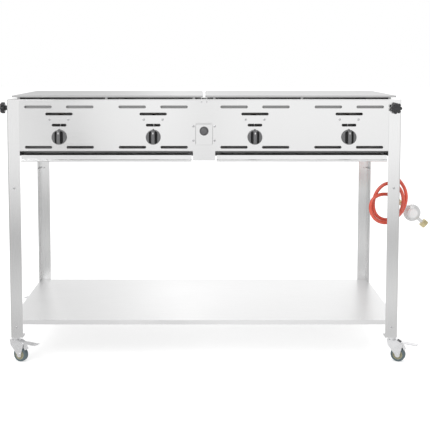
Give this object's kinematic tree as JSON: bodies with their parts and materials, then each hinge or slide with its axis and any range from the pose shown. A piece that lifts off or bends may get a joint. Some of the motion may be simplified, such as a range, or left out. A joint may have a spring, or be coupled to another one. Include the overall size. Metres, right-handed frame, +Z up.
{
  "type": "gas barbecue grill",
  "caption": "Free-standing stainless gas barbecue grill on braked castors, with flat cooking plates over tube burners, drip trays, a shelf and a gas hose with regulator.",
  "frame": {"origin": "on the floor, midway between the four legs", "axes": "+X to the right as seen from the control knobs, +Y to the back, +Z up"},
  "size_m": [1.5324, 0.6788, 0.923],
  "materials": {
    "stainless": "fine brushed stainless steel",
    "plate_steel": "satin stainless steel",
    "tray_steel": "bright stainless steel",
    "box_steel": "dull steel",
    "burner_steel": "dull stainless steel",
    "screw_steel": "zinc-plated steel",
    "pipe_steel": "zinc-plated steel",
    "brass": "turned brass",
    "black_plastic": "satin black plastic",
    "ceramic": "white ceramic on a steel wire",
    "zinc_steel": "bright zinc-plated steel",
    "wheel_rubber": "grey rubber tyre on a beige hub",
    "hose_rubber": "smooth orange-red rubber",
    "cast_aluminium": "pale grey cast metal, brass hose nut"
  },
  "bodies": {
    "frame": {"front_panel": "stainless", "back_panel": "stainless", "end_panel_left": "stainless", "end_panel_right": "stainless", "fire_box_left": "box_steel", "fire_box_right": "box_steel", "partition_left": "box_steel", "partition_right": "box_steel", "centre_spine": "stainless", "centre_cover": "stainless", "leg_front_left": "stainless", "leg_front_right": "stainless", "leg_back_right": "stainless", "leg_back_left": "stainless", "bottom_shelf": "stainless", "pan_screws": "screw_steel", "gas_manifold": "pipe_steel", "gas_valves": "brass", "inlet_fitting": "brass", "burner_1": "burner_steel", "burner_2": "burner_steel", "burner_3": "burner_steel", "burner_4": "burner_steel", "igniter_electrodes": "ceramic", "igniter_body": "black_plastic", "castor_stems": "zinc_steel", "hose_clip": "screw_steel", "gas_hose": "hose_rubber", "gas_hose_coil": "hose_rubber", "regulator": "cast_aluminium"},
    "plate_left": {"cooking_plate_left": "plate_steel"},
    "plate_right": {"cooking_plate_right": "plate_steel"},
    "tray_left": {"drip_tray_left": "tray_steel"},
    "tray_right": {"drip_tray_right": "tray_steel"},
    "spindle_1": {"valve_spindle_1": "brass"},
    "knob_1": {"control_knob_1": "black_plastic"},
    "spindle_2": {"valve_spindle_2": "brass"},
    "knob_2": {"control_knob_2": "black_plastic"},
    "spindle_3": {"valve_spindle_3": "brass"},
    "knob_3": {"control_knob_3": "black_plastic"},
    "spindle_4": {"valve_spindle_4": "brass"},
    "knob_4": {"control_knob_4": "black_plastic"},
    "button": {"igniter_button": "black_plastic"},
    "star_front_left": {"star_knob_front_left": "black_plastic"},
    "star_front_right": {"star_knob_front_right": "black_plastic"},
    "star_back_right": {"star_knob_back_right": "black_plastic"},
    "star_back_left": {"star_knob_back_left": "black_plastic"},
    "fork_front_left": {"castor_fork_front_left": "zinc_steel"},
    "wheel_front_left": {"castor_wheel_front_left": "wheel_rubber"},
    "brake_front_left": {"castor_brake_front_left": "zinc_steel"},
    "fork_front_right": {"castor_fork_front_right": "zinc_steel"},
    "wheel_front_right": {"castor_wheel_front_right": "wheel_rubber"},
    "brake_front_right": {"castor_brake_front_right": "zinc_steel"},
    "fork_back_right": {"castor_fork_back_right": "zinc_steel"},
    "wheel_back_right": {"castor_wheel_back_right": "wheel_rubber"},
    "brake_back_right": {"castor_brake_back_right": "zinc_steel"},
    "fork_back_left": {"castor_fork_back_left": "zinc_steel"},
    "wheel_back_left": {"castor_wheel_back_left": "wheel_rubber"},
    "brake_back_left": {"castor_brake_back_left": "zinc_steel"},
    "bottle_nut": {"bottle_nut": "brass"}
  },
  "joints": [
    {"name": "cooking_plate_left_lift", "type": "slide", "parent": "frame", "child": "plate_left", "axis": [0, 0, 1], "range_m": [0, 0.15]},
    {"name": "cooking_plate_right_lift", "type": "slide", "parent": "frame", "child": "plate_right", "axis": [0, 0, 1], "range_m": [0, 0.15]},
    {"name": "drip_tray_left_slide", "type": "slide", "parent": "frame", "child": "tray_left", "axis": [0, -1, 0], "range_m": [0, 0.42]},
    {"name": "drip_tray_right_slide", "type": "slide", "parent": "frame", "child": "tray_right", "axis": [0, -1, 0], "range_m": [0, 0.42]},
    {"name": "control_knob_1_push", "type": "slide", "parent": "frame", "child": "spindle_1", "axis": [0, 1, 0], "range_m": [0, 0.003], "stiffness_N_per_m": 2500, "springref_m": -0.002},
    {"name": "control_knob_1_turn", "type": "hinge", "parent": "spindle_1", "child": "knob_1", "pos_m": [-0.493, -0.3155, 0.782], "axis": [0, -1, 0], "range_deg": [0, 180]},
    {"name": "control_knob_2_push", "type": "slide", "parent": "frame", "child": "spindle_2", "axis": [0, 1, 0], "range_m": [0, 0.003], "stiffness_N_per_m": 2500, "springref_m": -0.002},
    {"name": "control_knob_2_turn", "type": "hinge", "parent": "spindle_2", "child": "knob_2", "pos_m": [-0.173, -0.3155, 0.782], "axis": [0, -1, 0], "range_deg": [0, 180]},
    {"name": "control_knob_3_push", "type": "slide", "parent": "frame", "child": "spindle_3", "axis": [0, 1, 0], "range_m": [0, 0.003], "stiffness_N_per_m": 2500, "springref_m": -0.002},
    {"name": "control_knob_3_turn", "type": "hinge", "parent": "spindle_3", "child": "knob_3", "pos_m": [0.173, -0.3155, 0.782], "axis": [0, -1, 0], "range_deg": [0, 180]},
    {"name": "control_knob_4_push", "type": "slide", "parent": "frame", "child": "spindle_4", "axis": [0, 1, 0], "range_m": [0, 0.003], "stiffness_N_per_m": 2500, "springref_m": -0.002},
    {"name": "control_knob_4_turn", "type": "hinge", "parent": "spindle_4", "child": "knob_4", "pos_m": [0.493, -0.3155, 0.782], "axis": [0, -1, 0], "range_deg": [0, 180]},
    {"name": "igniter_button_push", "type": "slide", "parent": "frame", "child": "button", "axis": [0, 1, 0], "range_m": [0, 0.006], "stiffness_N_per_m": 2000, "springref_m": -0.002},
    {"name": "star_knob_front_left_turn", "type": "hinge", "parent": "frame", "child": "star_front_left", "pos_m": [-0.67, -0.2825, 0.881], "axis": [-1, 0, 0], "continuous": true},
    {"name": "star_knob_front_right_turn", "type": "hinge", "parent": "frame", "child": "star_front_right", "pos_m": [0.649, -0.3035, 0.881], "axis": [0, -1, 0], "continuous": true},
    {"name": "star_knob_back_right_turn", "type": "hinge", "parent": "frame", "child": "star_back_right", "pos_m": [0.67, 0.2825, 0.881], "axis": [1, 0, 0], "continuous": true},
    {"name": "star_knob_back_left_turn", "type": "hinge", "parent": "frame", "child": "star_back_left", "pos_m": [-0.649, 0.3035, 0.881], "axis": [0, 1, 0], "continuous": true},
    {"name": "castor_front_left_swivel", "type": "hinge", "parent": "frame", "child": "fork_front_left", "pos_m": [-0.656, -0.2895, 0.08], "axis": [0, 0, 1], "continuous": true},
    {"name": "castor_front_left_roll", "type": "hinge", "parent": "fork_front_left", "child": "wheel_front_left", "pos_m": [-0.63697, -0.29838, 0.025], "axis": [0.4226, 0.9063, 0], "continuous": true},
    {"name": "castor_front_left_brake", "type": "hinge", "parent": "fork_front_left", "child": "brake_front_left", "pos_m": [-0.627, -0.30302, 0.0627], "axis": [0.4226, 0.9063, 0], "range_deg": [0, 8]},
    {"name": "castor_front_right_swivel", "type": "hinge", "parent": "frame", "child": "fork_front_right", "pos_m": [0.656, -0.2895, 0.08], "axis": [0, 0, 1], "continuous": true},
    {"name": "castor_front_right_roll", "type": "hinge", "parent": "fork_front_right", "child": "wheel_front_right", "pos_m": [0.67503, -0.29838, 0.025], "axis": [0.4226, 0.9063, 0], "continuous": true},
    {"name": "castor_front_right_brake", "type": "hinge", "parent": "fork_front_right", "child": "brake_front_right", "pos_m": [0.685, -0.30302, 0.0627], "axis": [0.4226, 0.9063, 0], "range_deg": [0, 8]},
    {"name": "castor_back_right_swivel", "type": "hinge", "parent": "frame", "child": "fork_back_right", "pos_m": [0.656, 0.2895, 0.08], "axis": [0, 0, 1], "continuous": true},
    {"name": "castor_back_right_roll", "type": "hinge", "parent": "fork_back_right", "child": "wheel_back_right", "pos_m": [0.63697, 0.29838, 0.025], "axis": [-0.4226, -0.9063, 0], "continuous": true},
    {"name": "castor_back_right_brake", "type": "hinge", "parent": "fork_back_right", "child": "brake_back_right", "pos_m": [0.627, 0.30302, 0.0627], "axis": [-0.4226, -0.9063, 0], "range_deg": [0, 8]},
    {"name": "castor_back_left_swivel", "type": "hinge", "parent": "frame", "child": "fork_back_left", "pos_m": [-0.656, 0.2895, 0.08], "axis": [0, 0, 1], "continuous": true},
    {"name": "castor_back_left_roll", "type": "hinge", "parent": "fork_back_left", "child": "wheel_back_left", "pos_m": [-0.67503, 0.29838, 0.025], "axis": [-0.4226, -0.9063, 0], "continuous": true},
    {"name": "castor_back_left_brake", "type": "hinge", "parent": "fork_back_left", "child": "brake_back_left", "pos_m": [-0.685, 0.30302, 0.0627], "axis": [-0.4226, -0.9063, 0], "range_deg": [0, 8]},
    {"name": "bottle_nut_turn", "type": "hinge", "parent": "frame", "child": "bottle_nut", "pos_m": [0.77399, -0.216, 0.47019], "axis": [0.7431, 0, -0.6691], "continuous": true}
  ]
}
